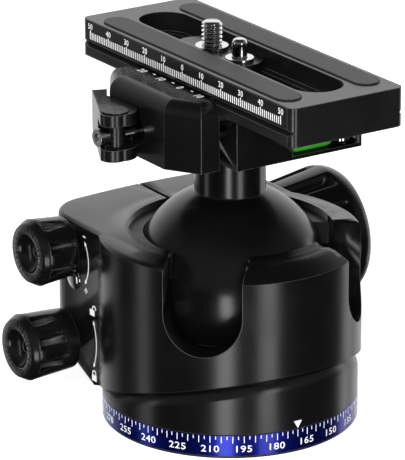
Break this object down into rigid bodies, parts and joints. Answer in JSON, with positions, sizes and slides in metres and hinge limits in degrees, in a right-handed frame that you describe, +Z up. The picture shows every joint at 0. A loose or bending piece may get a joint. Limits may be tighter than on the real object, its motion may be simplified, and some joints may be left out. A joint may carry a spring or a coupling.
{
  "type": "tripod ball head",
  "caption": "Tripod ball head with a panning degree base, notched and slit housing, clamp knobs and a lever clamp holding a sliding camera plate.",
  "frame": {"origin": "centre of the base face, on the tripod thread's axis", "axes": "+Z up through the ball, +X towards the index mark and along the camera plate, -Y towards the two small knobs"},
  "size_m": [0.1148, 0.1162, 0.1192],
  "materials": {
    "anodised_black": "hard anodised, satin gloss",
    "ring_blue": "blue anodised, gloss, white scale",
    "lever_grey": "anodised, satin",
    "steel": "machined steel",
    "chrome": "polished",
    "acetal": "black acetal",
    "vial_green": "level fluid in a tube",
    "rubber": "fine ribbed rubber"
  },
  "bodies": {
    "base": {"base_plate": "anodised_black", "degree_ring": "ring_blue", "pan_drum": "anodised_black", "thread_insert": "steel", "base_screws": "steel"},
    "housing": {"housing": "anodised_black", "retaining_ring": "steel", "upper_ball_liner": "acetal", "seat_spring": "steel", "main_washer": "steel", "friction_washer": "steel", "pan_washer": "steel"},
    "main_knob": {"main_knob": "anodised_black", "main_screw": "steel"},
    "friction_knob": {"friction_knob": "anodised_black", "friction_screw": "steel"},
    "pan_knob": {"pan_knob": "anodised_black", "pan_screw": "steel"},
    "seat": {"ball_seat": "acetal"},
    "head": {"ball": "anodised_black", "stem_bolt": "steel", "stem_dowel": "steel", "clamp_body": "anodised_black", "guide_pins": "steel", "jaw_spring": "steel", "tie_rod": "chrome", "tie_nut": "chrome", "pivot_barrel": "steel", "level_vial": "vial_green", "vial_caps": "acetal", "stop_spring": "steel"},
    "jaw": {"clamp_jaw": "anodised_black"},
    "lever": {"cam_lever": "lever_grey"},
    "stop_pin": {"stop_pin": "chrome"},
    "plate": {"camera_plate": "anodised_black", "rubber_pads": "rubber", "stop_screws": "steel"},
    "carriage": {"carriage": "anodised_black", "pin_collar": "anodised_black", "pin_spring": "steel"},
    "camera_screw": {"camera_screw": "chrome", "screw_collar": "chrome"},
    "video_pin": {"video_pin": "chrome"}
  },
  "joints": [
    {"name": "pan", "type": "hinge", "parent": "base", "child": "housing", "pos_m": [0, 0, 0], "axis": [0, 0, 1], "continuous": true},
    {"name": "main_knob_turn", "type": "hinge", "parent": "housing", "child": "main_knob", "pos_m": [-0.036, 0.035, 0.0347], "axis": [0, 1, 0], "continuous": true},
    {"name": "friction_knob_turn", "type": "hinge", "parent": "housing", "child": "friction_knob", "pos_m": [-0.036, -0.035, 0.0485], "axis": [0, -1, 0], "continuous": true},
    {"name": "pan_knob_turn", "type": "hinge", "parent": "housing", "child": "pan_knob", "pos_m": [-0.036, -0.035, 0.0193], "axis": [0, -1, 0], "continuous": true},
    {"name": "ball_spin", "type": "hinge", "parent": "housing", "child": "seat", "pos_m": [0, 0, 0.0429], "axis": [0, 0, 1], "range_deg": [-268, 92]},
    {"name": "ball_tilt", "type": "hinge", "parent": "seat", "child": "head", "pos_m": [0, 0, 0.0429], "axis": [0.7193, 0.6947, 0], "range_deg": [-30, 90]},
    {"name": "lever_swing", "type": "hinge", "parent": "head", "child": "lever", "pos_m": [0, -0.0396, 0.094], "axis": [0, 0, 1], "range_deg": [-2, 92]},
    {"name": "jaw_slide", "type": "slide", "parent": "head", "child": "jaw", "axis": [0, -1, 0], "range_m": [0, 0.0022], "deforming": ["jaw_spring"]},
    {"name": "stop_press", "type": "slide", "parent": "head", "child": "stop_pin", "axis": [0, 0, -1], "range_m": [0, 0.0015], "stiffness_N_per_m": 300, "springref_m": -0.001, "deforming": ["stop_spring"]},
    {"name": "plate_slide", "type": "slide", "parent": "head", "child": "plate", "axis": [1, 0, 0], "range_m": [-0.0243, 0.0153]},
    {"name": "carriage_slide", "type": "slide", "parent": "plate", "child": "carriage", "axis": [1, 0, 0], "range_m": [-0.019, 0.04]},
    {"name": "camera_screw_turn", "type": "hinge", "parent": "carriage", "child": "camera_screw", "pos_m": [-0.0095, 0, 0.11], "axis": [0, 0, 1], "continuous": true},
    {"name": "video_pin_press", "type": "slide", "parent": "carriage", "child": "video_pin", "axis": [0, 0, -1], "range_m": [0, 0.003], "stiffness_N_per_m": 200, "springref_m": -0.002, "deforming": ["pin_spring"]}
  ],
  "couplings": [
    {"joint": "lever_swing", "follows": "jaw_slide", "rad_per_m": 714}
  ]
}
